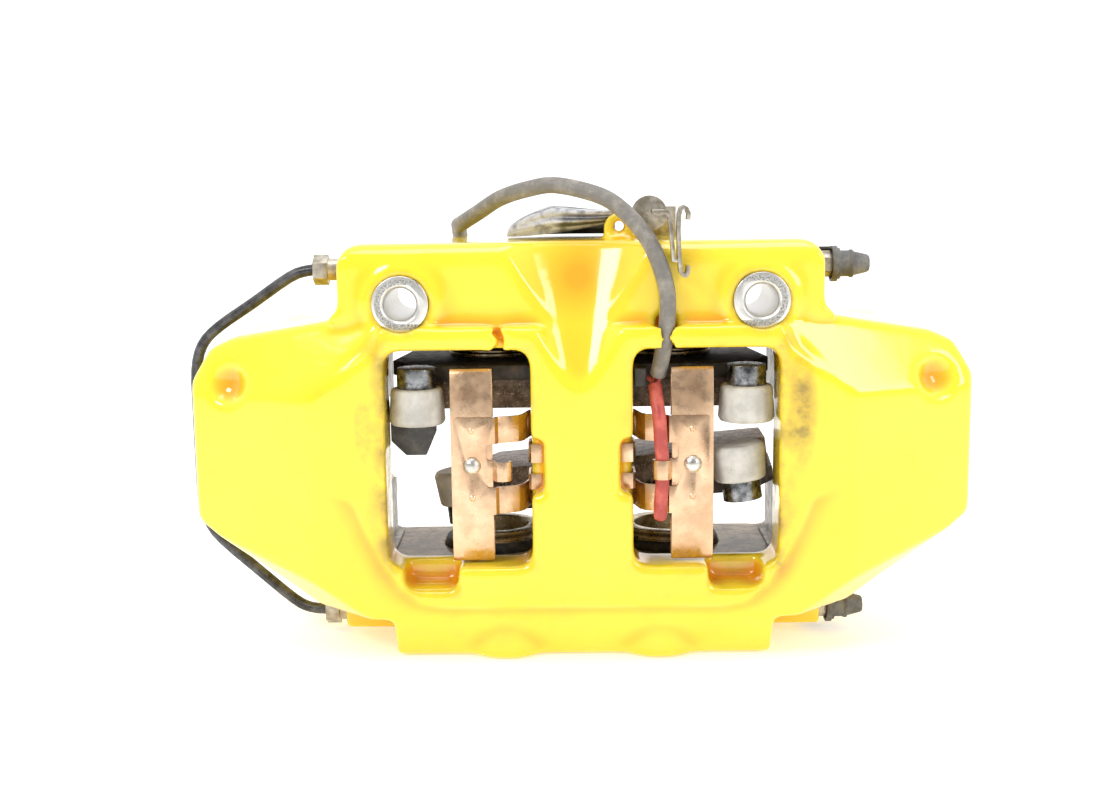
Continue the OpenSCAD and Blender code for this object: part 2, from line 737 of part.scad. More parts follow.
color(cast_grey)  // mass_outboard_left
    on_outboard() mass(-outer_stud_spread, outer_stud_y);
color(cast_grey)  // mass_outboard_right
    on_outboard() mass(outer_stud_spread, outer_stud_y);
abutment(-1, true);  // abutment_inboard_left
abutment(1, true);  // abutment_inboard_right
abutment(-1, false);  // abutment_outboard_left
abutment(1, false);  // abutment_outboard_right
spring_band(-1);  // spring_band_left
spring_band(1);  // spring_band_right
spring_clip(-1);  // spring_clip_left
spring_clip(1);  // spring_clip_right
spring_rivet(-1);  // spring_rivet_left
spring_rivet(1);  // spring_rivet_right
crossover_pipe();
pipe_nut(port_z);  // pipe_nut_upper
pipe_nut(low_port_z);  // pipe_nut_lower
bleed_screw(port_z);  // bleed_screw_upper
bleed_screw(low_port_z);  // bleed_screw_lower
bleed_cap(port_z);  // bleed_cap_upper
bleed_cap(low_port_z);  // bleed_cap_lower
lead_bracket();
bracket_bolt();
sensor_lead();
sensor_wire();
sensor_sleeve();
wear_sensor_left();
wear_sensor_right();
lead_connector();
port_film();
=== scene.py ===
"""Looks of the four-piston brake caliper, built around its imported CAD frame.

Sizes and places on the object are in millimetres, and MM turns them into the frame's metres.
"""

import json
import math

import bmesh
import bpy
import numpy as np
from mathutils import Matrix, Vector


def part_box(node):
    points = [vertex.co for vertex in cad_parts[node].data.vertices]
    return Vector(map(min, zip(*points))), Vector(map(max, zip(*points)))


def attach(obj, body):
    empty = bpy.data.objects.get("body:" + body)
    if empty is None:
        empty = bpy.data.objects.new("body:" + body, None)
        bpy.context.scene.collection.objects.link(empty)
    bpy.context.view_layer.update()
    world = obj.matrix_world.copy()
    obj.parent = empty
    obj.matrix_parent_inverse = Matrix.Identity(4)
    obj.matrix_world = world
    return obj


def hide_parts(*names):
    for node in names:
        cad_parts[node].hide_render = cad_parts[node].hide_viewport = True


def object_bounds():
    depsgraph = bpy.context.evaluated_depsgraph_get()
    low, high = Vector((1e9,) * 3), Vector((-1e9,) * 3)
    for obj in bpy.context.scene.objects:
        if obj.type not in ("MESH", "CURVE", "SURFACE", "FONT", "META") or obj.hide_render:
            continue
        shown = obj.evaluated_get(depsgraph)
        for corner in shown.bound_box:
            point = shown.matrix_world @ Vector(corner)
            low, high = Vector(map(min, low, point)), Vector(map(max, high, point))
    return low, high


MM = 0.001
MM_PER_M = 1000
# Mounting bushes: distance from the middle, and outer radius
BUSH_X = 70
BUSH_R = 11

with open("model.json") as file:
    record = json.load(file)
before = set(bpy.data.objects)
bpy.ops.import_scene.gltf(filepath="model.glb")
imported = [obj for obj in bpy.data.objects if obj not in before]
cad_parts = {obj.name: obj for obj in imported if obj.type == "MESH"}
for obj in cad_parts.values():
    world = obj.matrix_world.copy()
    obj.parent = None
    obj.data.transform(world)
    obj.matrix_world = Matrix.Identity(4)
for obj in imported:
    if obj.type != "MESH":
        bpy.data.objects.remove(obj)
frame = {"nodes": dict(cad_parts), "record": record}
CAD_BOUNDS = [[float(v) for v in corner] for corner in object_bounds()]
BODY_OF = {node: body for body, nodes in frame["record"]["behaviour"]["bodies"].items() for node in nodes}


# ------------------------------------------------------------------ camera, floor and light

VIEW_AT = Vector((-5.93, -620, 53.3)) * MM
VIEW_PITCH = 9.14
VIEW_YAW = -0.65
VIEW_ROLL = -0.76
SENSOR_MM = 36
LENS_MM = 48.20727


def add_camera():
    data = bpy.data.cameras.new("camera")
    data.sensor_width = SENSOR_MM
    data.lens = LENS_MM
    data.clip_start = 0.01
    camera = bpy.data.objects.new("camera", data)
    camera.location = VIEW_AT
    turn = Matrix.Rotation(math.radians(-VIEW_YAW), 3, "Z")
    tip = Matrix.Rotation(math.radians(90 - VIEW_PITCH), 3, "X")
    roll = Matrix.Rotation(math.radians(VIEW_ROLL), 3, "Z")
    camera.rotation_euler = (turn @ tip @ roll).to_euler()
    bpy.context.scene.collection.objects.link(camera)
    bpy.context.scene.camera = camera


def add_light(name, at, target, size, power):
    data = bpy.data.lights.new(name, "AREA")
    data.shape = "RECTANGLE"
    data.size, data.size_y = size
    data.energy = power
    lamp = bpy.data.objects.new(name, data)
    lamp.location = at
    lamp.rotation_euler = (Vector(target) - Vector(at)).to_track_quat("-Z", "Y").to_euler()
    bpy.context.scene.collection.objects.link(lamp)


# In metres: half the floor's side, the gap under the lowest piece, and the point that the lamps face
FLOOR_REACH = 4
FLOOR_GAP = 0.0002
LAMPS_FACE = (0, -0.02, -0.05)


def add_studio():
    bm = bmesh.new()
    bmesh.ops.create_grid(bm, x_segments=1, y_segments=1, size=FLOOR_REACH)
    floor = mesh_object("studio_floor", bm)
    floor.location.z = CAD_BOUNDS[0][2] - FLOOR_GAP
    white, _, shader = new_material("studio_white")
    shader.inputs["Base Color"].default_value = (0.95, 0.95, 0.95, 1)
    shader.inputs["Roughness"].default_value = 0.6
    shader.inputs["Emission Color"].default_value = (1, 1, 1, 1)
    shader.inputs["Emission Strength"].default_value = 0.35
    floor.data.materials.append(white)
    bpy.context.scene.world = studio_world()
    bpy.context.scene.view_settings.view_transform = "Standard"
    add_light("key", (-0.62, -0.62, 0.62), LAMPS_FACE, (0.4, 0.28), 4.2)
    add_light("fill", (0.8, -0.62, 0.4), LAMPS_FACE, (0.25, 0.5), 2.6)
    add_light("top", (0.05, -0.1, 0.95), LAMPS_FACE, (0.8, 0.35), 3.3)


def studio_world():
    """White all round the back and above, dimmer on the camera's side."""
    world = bpy.data.worlds.new("studio")
    world.use_nodes = True
    tree = world.node_tree
    coords = tree.nodes.new("ShaderNodeTexCoord")
    split = tree.nodes.new("ShaderNodeSeparateXYZ")
    background = tree.nodes["Background"]
    background.inputs["Color"].default_value = (1, 1, 1, 1)
    ramp = tree.nodes.new("ShaderNodeMapRange")
    for end, value in (("From Min", -0.75), ("From Max", 0.15), ("To Min", 0.45), ("To Max", 1.3)):
        ramp.inputs[end].default_value = value
    tree.links.new(coords.outputs["Generated"], split.inputs["Vector"])
    tree.links.new(split.outputs["Y"], ramp.inputs["Value"])
    tree.links.new(ramp.outputs["Result"], background.inputs["Strength"])
    return world


# ------------------------------------------------------------------ mesh helpers

BEVEL_FROM = 30


def mesh_object(name, bm):
    mesh = bpy.data.meshes.new(name)
    bm.to_mesh(mesh)
    bm.free()
    obj = bpy.data.objects.new(name, mesh)
    bpy.context.scene.collection.objects.link(obj)
    return obj


def copy_of(node, name):
    """A new object with the CAD node's shape, welded and with flat faces merged."""
    source = frame["nodes"][node]
    bm = bmesh.new()
    bm.from_mesh(source.data)
    bm.transform(source.matrix_world)
    bmesh.ops.remove_doubles(bm, verts=bm.verts, dist=0.005 * MM)
    bmesh.ops.dissolve_limit(bm, angle_limit=math.radians(1), verts=bm.verts, edges=bm.edges)
    return mesh_object(name, bm)


def apply_modifiers(obj):
    graph = bpy.context.evaluated_depsgraph_get()
    graph.update()
    mesh = bpy.data.meshes.new_from_object(obj.evaluated_get(graph), depsgraph=graph)
    obj.modifiers.clear()
    old = obj.data
    obj.data = mesh
    bpy.data.meshes.remove(old)


def shade(obj, angle=40):
    obj.data.shade_smooth()
    obj.data.set_sharp_from_angle(angle=math.radians(angle))


def bevelled(obj, width, segments):
    """Rounds the edges that turn by more than BEVEL_FROM degrees."""
    bevel = obj.modifiers.new("bevel", "BEVEL")
    bevel.width = width * MM
    bevel.segments = segments
    bevel.limit_method = "ANGLE"
    bevel.angle_limit = math.radians(BEVEL_FROM)
    apply_modifiers(obj)


def vertex_array(obj):
    co = np.empty(len(obj.data.vertices) * 3, dtype=np.float32)
    obj.data.vertices.foreach_get("co", co)
    return co.reshape(-1, 3)


def set_vertices(obj, co):
    obj.data.vertices.foreach_set("co", co.astype(np.float32).ravel())
    obj.data.update()


def finish_piece(obj, node, material):
    """Puts a piece on its node's body in the node's place, with its finish."""
    obj.data.materials.clear()
    obj.data.materials.append(material)
    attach(obj, BODY_OF[node])
    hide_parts(node)


# ------------------------------------------------------------------ material helpers

def new_material(name):
    material = bpy.data.materials.new(name)
    material.use_nodes = True
    return material, material.node_tree, material.node_tree.nodes["Principled BSDF"]


class Nodes:
    """Short forms for building a node tree, in the frame's own coordinates."""

    def __init__(self, tree):
        self.tree = tree
        self.place = tree.nodes.new("ShaderNodeTexCoord").outputs["Object"]

    def link(self, a, b):
        self.tree.links.new(a, b)

    def noise(self, size_mm, detail=4, rough=0.55, distortion=0.0):
        node = self.tree.nodes.new("ShaderNodeTexNoise")
        node.inputs["Scale"].default_value = MM_PER_M / size_mm
        node.inputs["Detail"].default_value = detail
        node.inputs["Roughness"].default_value = rough
        node.inputs["Distortion"].default_value = distortion
        self.link(self.place, node.inputs["Vector"])
        return node.outputs["Fac"]

    def ramp(self, value, stops, smooth=True):
        """A value turned into greys or colours, given as (place, grey or colour) stops."""
        node = self.tree.nodes.new("ShaderNodeValToRGB")
        node.color_ramp.interpolation = "EASE" if smooth else "LINEAR"
        elements = node.color_ramp.elements
        while len(elements) < len(stops):
            elements.new(0.5)
        for element, (at, colour) in zip(elements, stops):
            element.position = at
            colour = (colour,) * 3 if isinstance(colour, (int, float)) else colour
            element.color = (*colour, 1)
        self.link(value, node.inputs["Fac"])
        return node.outputs["Color"]

    def mix(self, factor, a, b):
        """Mixes two colours; the node's colour sockets are inputs 6 and 7 and output 2."""
        node = self.tree.nodes.new("ShaderNodeMix")
        node.data_type = "RGBA"
        for socket, value in ((node.inputs[0], factor), (node.inputs[6], a), (node.inputs[7], b)):
            if isinstance(value, (int, float)):
                socket.default_value = value
            elif isinstance(value, tuple):
                socket.default_value = (*value, 1)
            else:
                self.link(value, socket)
        return node.outputs[2]

    def math(self, operation, a, b=0.0):
        """The result of one operation, held between 0 and 1."""
        node = self.tree.nodes.new("ShaderNodeMath")
        node.operation = operation
        node.use_clamp = True
        for socket, value in zip(node.inputs, (a, b)):
            if isinstance(value, (int, float)):
                socket.default_value = value
            else:
                self.link(value, socket)
        return node.outputs[0]

    def attribute(self, name):
        node = self.tree.nodes.new("ShaderNodeAttribute")
        node.attribute_name = name
        return node.outputs["Fac"]

    def bump(self, height, distance_mm, below=None):
        node = self.tree.nodes.new("ShaderNodeBump")
        node.inputs["Distance"].default_value = distance_mm * MM
        self.link(height, node.inputs["Height"])
        if below is not None:
            self.link(below, node.inputs["Normal"])
        return node.outputs["Normal"]


def worn_metal(name, light, dark, roughness, metallic=1.0, grain=1.2, pits=0.04, spots=None):
    """Bare or plated metal: two tones in blotches, fine pitting and uneven polish.

    Spots are a third tone, given as their size, colour, and where their noise starts and is full.
    """
    material, tree, shader = new_material(name)
    n = Nodes(tree)
    blotches = n.noise(grain * 5, detail=6, rough=0.6)
    fine = n.noise(grain * 0.35, detail=3)
    colour = n.mix(n.ramp(blotches, [(0.35, 0.0), (0.65, 1.0)]), dark, light)
    if spots:
        size, spot_colour, low, high = spots
        spotted = n.ramp(n.noise(size, detail=5, rough=0.65), [(low, 0.0), (high, 1.0)])
        colour = n.mix(spotted, colour, spot_colour)
    n.link(colour, shader.inputs["Base Color"])
    n.link(n.ramp(n.noise(grain * 2, detail=4), [(0.3, roughness - 0.08), (0.7, roughness + 0.12)]),
           shader.inputs["Roughness"])
    n.link(n.bump(fine, pits), shader.inputs["Normal"])
    shader.inputs["Metallic"].default_value = metallic
    return material


def bush_steel():
    """Turned steel: bright edges round a dull, stippled ring on the face."""
    material, tree, shader = new_material("bush_steel")
    n = Nodes(tree)
    split = tree.nodes.new("ShaderNodeSeparateXYZ")
    n.link(n.place, split.inputs["Vector"])
    aside = n.math("SUBTRACT", n.math("ABSOLUTE", split.outputs["X"]), BUSH_X * MM)
    square = n.math("ADD", n.math("MULTIPLY", aside, aside),
                    n.math("MULTIPLY", split.outputs["Z"], split.outputs["Z"]))
    radius = n.math("DIVIDE", n.math("SQRT", square), BUSH_R * MM)
    ring = n.ramp(radius, [(0.67, 0.0), (0.71, 1.0), (0.88, 1.0), (0.92, 0.0)], smooth=False)
    stipple = n.mix(n.ramp(n.noise(0.7, detail=3, rough=0.7), [(0.4, 0.0), (0.6, 1.0)]),
                    (0.24, 0.235, 0.22), (0.6, 0.59, 0.56))
    bright = n.mix(n.noise(3, detail=5), (0.62, 0.6, 0.56), (0.8, 0.79, 0.76))
    n.link(n.mix(ring, bright, stipple), shader.inputs["Base Color"])
    n.link(n.ramp(radius, [(0.67, 0.28), (0.71, 0.6), (0.88, 0.6), (0.92, 0.28)], smooth=False),
           shader.inputs["Roughness"])
    n.link(n.bump(n.noise(0.6, detail=3), 0.08), shader.inputs["Normal"])
    shader.inputs["Metallic"].default_value = 0.85
    return material


def soft_plastic(name, light, dark, roughness, grain=1.0, bump=0.03):
    """Rubber, sheath or plastic: dust in blotches over a matt surface."""
    material, tree, shader = new_material(name)
    n = Nodes(tree)
    dust = n.ramp(n.noise(grain * 6, detail=6, rough=0.65), [(0.4, 0.0), (0.7, 1.0)])
    n.link(n.mix(dust, dark, light), shader.inputs["Base Color"])
    n.link(n.ramp(n.noise(grain * 3), [(0.3, roughness - 0.1), (0.7, roughness + 0.1)]),
           shader.inputs["Roughness"])
    n.link(n.bump(n.noise(grain * 0.5), bump), shader.inputs["Normal"])
    return material


def yellow_paint():
    """Gloss enamel with orange peel, painted orange shade in the hollows, and grime, over bare metal where
    "bare" is 1.
    """
    material, tree, shader = new_material("yellow_enamel")
    n = Nodes(tree)
    paint = n.mix(n.ramp(n.noise(60, detail=3), [(0.35, 0.0), (0.65, 1.0)]),
                  (0.93, 0.67, 0.022), (0.95, 0.72, 0.035))
    faded = n.ramp(n.noise(38, detail=5, rough=0.6), [(0.5, 0.0), (0.72, 1.0)])
    paint = n.mix(n.math("MULTIPLY", faded, 0.4), paint, (0.9, 0.5, 0.03))
    # Painted shade: hollows and the valley between the lugs turn orange, as light bounced off the paint
    # would make them
    paint = n.mix(n.attribute("painted_shade"), paint, (0.9, 0.34, 0.012))
    patches = n.ramp(n.noise(14, detail=8, rough=0.7), [(0.35, 0.1), (0.68, 1.0)])
    stain = n.math("MULTIPLY", n.attribute("grime"), patches)
    dirty = n.mix(n.math("MULTIPLY", stain, 0.85), paint, (0.16, 0.095, 0.035))
    specks = n.ramp(n.noise(1.6, detail=4, rough=0.7), [(0.74, 0.0), (0.8, 1.0)])
    dirty = n.mix(n.math("MULTIPLY", specks, 0.25), dirty, (0.2, 0.12, 0.03))
    metal = n.mix(n.ramp(n.noise(9, detail=8, rough=0.7), [(0.38, 0.0), (0.66, 1.0)]),
                  (0.17, 0.12, 0.08), (0.5, 0.38, 0.24))
    bare = n.attribute("bare")
    n.link(n.mix(bare, dirty, metal), shader.inputs["Base Color"])
    rough = n.math("MAXIMUM", n.math("MULTIPLY", stain, 0.6), n.math("MULTIPLY", bare, 0.7))
    n.link(n.math("MAXIMUM", rough, n.ramp(n.noise(30, detail=4), [(0.3, 0.09), (0.7, 0.16)])),
           shader.inputs["Roughness"])
    n.link(n.math("MULTIPLY", bare, 0.12), shader.inputs["Metallic"])
    peel = n.bump(n.noise(2.6, detail=2), 0.035)
    n.link(n.bump(n.noise(14, detail=2), 0.12, below=peel), shader.inputs["Normal"])
    shader.inputs["Coat Weight"].default_value = 0.5
    shader.inputs["Coat Roughness"].default_value = 0.08
    return material


# ------------------------------------------------------------------ body casting

# Pad cavity: half width, y of its rim side and its range of z; and the windows' sides from the middle
CAVITY_X = 84
CAVITY_BACK = -34
CAVITY_Z = (-110, -20)
WINDOW_X = (20, 77)
# Bores: x and y of their axes, radius of their seats, range of z, and the radius that clears a piston
PISTON_AT = (37, 9)
BORE_SEAT_R = 24
BORES_Z = (-139, 9)
BORE_CLEAR = 19.3
# A point at least this share of the way out to BORE_CLEAR is on a bore's wall
BORE_NEAR = 0.93
# Spot face round the fluid inlet: z, radius, and the y that it lies beyond
INLET_Z = 15
INLET_R = 9
INLET_FROM = 20
# Corners of the two notches in the lip above the windows
ARROW_NOTCH = ((-37.5, -60, -18.2), (-28, -47, -8))
LEAD_SLOT = ((27, -60, -18.2), (38.5, -50, -8))
# Dark smears beside the windows: x, z, half width, half height, strength and darkest value
SMEARS = ((84, -44, 5, 17, 1.7, 1), (-85, -48, 4, 14, 1.2, 0.55))
# Shaded part of the valley between the lugs: x, z and radius
VALLEY = (-1, 9, 24)
# Smears and the valley are on the casting's rim side, where y is less than this
SMEAR_SIDE = -30
VALLEY_SIDE = -28
# Size of the casting's voxels, rounds of smoothing, and the depth of a full hollow
VOXEL = 1.1
CAST_PASSES = 14
HOLLOW_PASSES = 40
HOLLOW_DEPTH = 0.9


def remeshed(obj, voxel):
    remesh = obj.modifiers.new("remesh", "REMESH")
    remesh.mode = "VOXEL"
    remesh.voxel_size = voxel * MM
    remesh.use_smooth_shade = True
    apply_modifiers(obj)


class Surface:
    """Neighbour averages on a mesh, for smoothing and for finding its hollows."""

    def __init__(self, obj):
        edges = np.empty(len(obj.data.edges) * 2, dtype=np.int32)
        obj.data.edges.foreach_get("vertices", edges)
        self.a, self.b = edges.reshape(-1, 2).T
        self.count = np.bincount(self.a, minlength=len(obj.data.vertices))
        self.count = (self.count + np.bincount(self.b, minlength=len(self.count))).astype(float)

    def average(self, values):
        total = np.stack([
            np.bincount(self.a, weights=values[self.b, k], minlength=len(values))
            + np.bincount(self.b, weights=values[self.a, k], minlength=len(values))
            for k in range(values.shape[1])], axis=1)
        return total / self.count[:, None]

    def smoothed(self, values, passes, weight=0.5):
        for _ in range(passes):
            values = values + weight * (self.average(values) - values)
        return values


def vertex_normals(obj):
    flat = np.empty(len(obj.data.vertices) * 3, dtype=np.float32)
    obj.data.vertices.foreach_get("normal", flat)
    return flat.reshape(-1, 3)


def box_distance(co, low, high):
    """Distance of each point outside a box, in millimetres (0 inside it)."""
    low, high = np.array(low), np.array(high)
    gap = np.maximum(np.maximum(low - co, co - high), 0)
    return np.linalg.norm(gap, axis=1)


def sorted_box(a, b):
    return tuple(map(min, a, b)), tuple(map(max, a, b))


def store(obj, name, values):
    layer = obj.data.attributes.new(name, "FLOAT", "POINT")
    layer.data.foreach_set("value", np.clip(values, 0, 1).astype(np.float32))


def machined(co):
    """1 on bores and seats, which keep their edges, and 0 on the raw casting."""
    x, y, z = np.abs(co[:, 0]), co[:, 1], co[:, 2]
    bush = (np.abs(np.hypot(x - BUSH_X, z) - BUSH_R) < 1.2) & (y < 1)
    bores = np.hypot(x - PISTON_AT[0], y - PISTON_AT[1]) < BORE_SEAT_R
    bores &= (z > CAVITY_Z[1] - 2) | (z < CAVITY_Z[0] + 2)
    bores &= (y > CAVITY_BACK + 2) & (z > BORES_Z[0]) & (z < BORES_Z[1])
    inlet = (np.hypot(x, z - INLET_Z) < INLET_R) & (y > INLET_FROM)
    cuts = (box_distance(co, *ARROW_NOTCH) < 0.1) | (box_distance(co, *LEAD_SLOT) < 0.1)
    return (bush | bores | inlet | cuts).astype(float)


def clear_of_pistons(co):
    """Smoothing shrinks the bores a little, so their walls are set back outside the pistons."""
    beyond = (co[:, 2] > (CAVITY_Z[1] - 1) * MM) | (co[:, 2] < (CAVITY_Z[0] + 1) * MM)
    for x in (-PISTON_AT[0], PISTON_AT[0]):
        across = co[:, :2] - np.array((x, PISTON_AT[1])) * MM
        radius = np.hypot(*across.T)
        tight = beyond & (radius > BORE_NEAR * BORE_CLEAR * MM) & (radius < BORE_CLEAR * MM)
        co[tight, :2] += across[tight] * (BORE_CLEAR * MM / radius[tight] - 1)[:, None]
    return co


def hollows(obj, surface, co):
    """How deep each point lies in a hollow, where the paint lights itself and looks orange: the mask for
    the painted shade.
    """
    sunk = surface.smoothed(co, HOLLOW_PASSES) - co
    depth = np.einsum("ij,ij->i", sunk, vertex_normals(obj)) / MM
    depth = surface.smoothed(np.clip(depth / HOLLOW_DEPTH, 0, 1)[:, None], 4)[:, 0]
    x, y, z = (co / MM).T
    valley_x, valley_z, valley_r = VALLEY
    valley = np.clip(1.15 - np.hypot((x - valley_x) / valley_r, (z - valley_z) / valley_r), 0, 1)
    return np.maximum(depth, 0.9 * (valley * (y < VALLEY_SIDE)) ** 1.5)


def dirt(co):
    """Smears beside the windows, and dust along their edges, in the pockets and round the bushes."""
    x, y, z = co.T
    grime = np.zeros(len(co))
    for at_x, at_z, across, up, strength, most in SMEARS:
        blotch = np.hypot((x - at_x) / across, (z - at_z) / up)
        grime = np.maximum(grime, np.clip(strength - blotch, 0, most) * (y < SMEAR_SIDE))
    for side in (-1, 1):
        x0, x1 = sorted((side * WINDOW_X[0], side * WINDOW_X[1]))
        near = box_distance(co, (x0, -58, CAVITY_Z[0] + 6), (x1, CAVITY_BACK, CAVITY_Z[1] + 2))
        outer = np.clip((side * x - 70) / 8, 0.25, 1)
        grime = np.maximum(grime, outer * np.clip(1 - near / 10, 0, 1) ** 1.6)
        pocket = box_distance(co, *sorted_box((side * 50, -60, -115), (side * 71, -40, -108)))
        grime = np.maximum(grime, 0.3 * np.clip(1 - pocket / 3, 0, 1))
        bush = np.hypot(x - side * BUSH_X, z)
        grime = np.maximum(grime, 0.35 * np.clip(1 - (bush - BUSH_R) / 4, 0, 1))
    return grime


def body_casting():
    """One voxel skin, smoothed but for its machined places, with its painted shade, bare metal and grime
    as attributes.
    """
    obj = copy_of("caliper_body", "body_casting")
    remeshed(obj, VOXEL)
    surface = Surface(obj)
    co = vertex_array(obj).astype(float)
    keep = surface.smoothed(machined(co / MM)[:, None], 2)
    co = surface.smoothed(co, CAST_PASSES, weight=0.5 * (1 - 0.85 * np.clip(keep, 0, 1)))
    co = clear_of_pistons(co)
    set_vertices(obj, co)
    # Painted orange shade in the hollows and the valley, stored as a mask for the paint
    store(obj, "painted_shade", hollows(obj, surface, co))
    co = co / MM
    cavity = box_distance(co, (-CAVITY_X, CAVITY_BACK + 1.5, CAVITY_Z[0]), (CAVITY_X, 60, CAVITY_Z[1]))
    store(obj, "bare", 1 - cavity / 1.2)
    store(obj, "grime", dirt(co))
    shade(obj, 80)
    finish_piece(obj, "caliper_body", yellow_paint())


# ------------------------------------------------------------------ metal and rubber pieces from the frame

def refined(node, width, material, segments=2, angle=40):
    """The CAD node's own shape with its edges rounded."""
    obj = copy_of(node, node + "_finished")
    if width:
        bevelled(obj, width, segments)
    shade(obj, angle)
    finish_piece(obj, node, material)


def refine_all(width, material, *starts, segments=2):
    """Each CAD node whose name starts with one of the texts."""
    for start in starts:
        for node in sorted(frame["nodes"]):
            if node.startswith(start):
                refined(node, width, material, segments)


def frame_pieces():
    steel = worn_metal("tarnished_steel", (0.72, 0.7, 0.66), (0.5, 0.48, 0.44), 0.32)
    refine_all(0.35, bush_steel(), "mount_bush")
    refine_all(0.15, steel, "spring_rivet")
    piston = worn_metal("piston_anodised", (0.62, 0.52, 0.36), (0.42, 0.34, 0.22), 0.3)
    refine_all(0.4, piston, "piston_")
    rubber = soft_plastic("black_rubber", (0.075, 0.072, 0.07), (0.02, 0.02, 0.021), 0.6)
    refine_all(0.15, rubber, "seal_", "boot_")
    cap = soft_plastic("cap_rubber", (0.2, 0.195, 0.18), (0.085, 0.083, 0.08), 0.5)
    refine_all(0.3, cap, "bleed_cap")
    plate = worn_metal("backplate_paint", (0.09, 0.082, 0.078), (0.035, 0.032, 0.03), 0.55,
                       metallic=0.1, spots=(6, (0.2, 0.11, 0.05), 0.6, 0.75))
    refine_all(0.4, plate, "backplate")
    friction = worn_metal("friction_compound", (0.32, 0.25, 0.21), (0.12, 0.09, 0.075), 0.5,
                          metallic=0.25, grain=0.8, pits=0.25, spots=(0.9, (0.75, 0.68, 0.62), 0.58, 0.66))
    refine_all(0.4, friction, "friction")
    dark = worn_metal("dark_plating", (0.3, 0.31, 0.32), (0.06, 0.06, 0.065), 0.28, grain=0.8)
    refine_all(0.4, dark, "stud_")
    cast = worn_metal("cast_grey", (0.62, 0.6, 0.54), (0.45, 0.43, 0.39), 0.6,
                      metallic=0.15, grain=1.6, pits=0.1, spots=(1.0, (0.16, 0.14, 0.12), 0.64, 0.72))
    refine_all(0.6, cast, "mass_", segments=3)
    stainless = worn_metal("stainless", (0.42, 0.38, 0.32), (0.16, 0.14, 0.12), 0.45, metallic=0.7)
    refine_all(0.3, stainless, "abutment")
    bronze = worn_metal("bronze_sheet", (0.78, 0.54, 0.35), (0.6, 0.39, 0.24), 0.3,
                        grain=2.2, pits=0.02, spots=(5, (0.4, 0.24, 0.13), 0.6, 0.78))
    refine_all(0.2, bronze, "spring_band", "spring_clip")
    zinc = worn_metal("zinc_plate", (0.56, 0.52, 0.44), (0.3, 0.26, 0.2), 0.4,
                      grain=0.9, spots=(2.2, (0.35, 0.2, 0.1), 0.62, 0.74))
    refine_all(0.3, zinc, "pipe_nut", "bleed_screw", "lead_bracket", "bracket_bolt")
    pipe = worn_metal("pipe_coating", (0.1, 0.1, 0.105), (0.03, 0.03, 0.032), 0.32, metallic=0.3)
    refined("crossover_pipe", 0, pipe, angle=60)
    sensor = soft_plastic("sensor_plastic", (0.16, 0.155, 0.15), (0.06, 0.06, 0.062), 0.45)
    refine_all(0.5, sensor, "wear_sensor", "lead_connector", segments=3)


# ------------------------------------------------------------------ lead, wires and film

# Routes as the CAD source has them
LEAD = [
    (30.4, -43, -29.5), (31.6, -47.4, -22.5), (32.6, -51.6, -14), (33.4, -54, -5), (33, -55.3, 4.7),
    (30, -54.6, 15.3), (25, -51, 25.5), (17.4, -46, 34.2), (8, -41, 40.5), (-9, -32, 44.6),
    (-21, -25, 43), (-32, -17, 39.4), (-41, -8, 33.8), (-49.5, 4, 28.5), (-51.5, 20, 26.6),
    (-51.5, 34, 18), (-50.5, 43, 2), (-49, 44, -20), (-48, 44, -60), (-47, 46, -95),
    (-45, 51, -117), (-42, 61, -132), (-37, 75, -140), (-28, 88, -141.7), (-14, 97, -141.7),
    (0, 100, -141.7), (14, 98, -141.7), (28, 91, -141.7), (40, 82, -141.7), (54, 76, -141.7),
    (68, 74, -141.7),
]
WIRE = [(29.6, -41.4, -29.1), (29.2, -41, -31.4), (28.2, -40.4, -32.6), (25.8, -39, -31)]
SLEEVE = [(29.2, -44.6, -34), (29.6, -49, -40), (30.4, -51.8, -46), (30.8, -52.3, -54),
          (31.4, -52.3, -62), (31.4, -52.3, -71), (30.8, -52.6, -79), (30.5, -53, -87)]
LINK = [(31, -44.2, -30.1), (30.6, -44.7, -32.2), (29.4, -44.8, -35)]
LEAD_D = 6.5
SLEEVE_D = 5.4
WIRE_D = 1.8
# Share of the sleeve's length after which its end closes
SLEEVE_CLOSES = 0.94
# Film: faces along and across it, its thickness, its gap over the bottom of its box, and its folds' seed
FILM_GRID = (200, 260)
FILM_THICK = 0.12
FILM_LIFT = 0.4
FILM_SEED = 7
# Waves across the film, and how many sets of them are laid over each other
PLEATS = ((2.5, 3), (5, 4), (9, 5), (16, 5))


def catmull(points, steps=6):
    """The route resampled on a smooth curve through its points, in metres."""
    p = [Vector(q) * MM for q in points]
    out = []
    for i in range(len(p) - 1):
        a, b, c, d = p[max(i - 1, 0)], p[i], p[i + 1], p[min(i + 2, len(p) - 1)]
        for k in range(steps):
            t = k / steps
            out.append(0.5 * (2 * b + (c - a) * t + (2 * a - 5 * b + 4 * c - d) * t * t
                              + (3 * b - a - 3 * c + d) * t * t * t))
    out.append(p[-1])
    return out


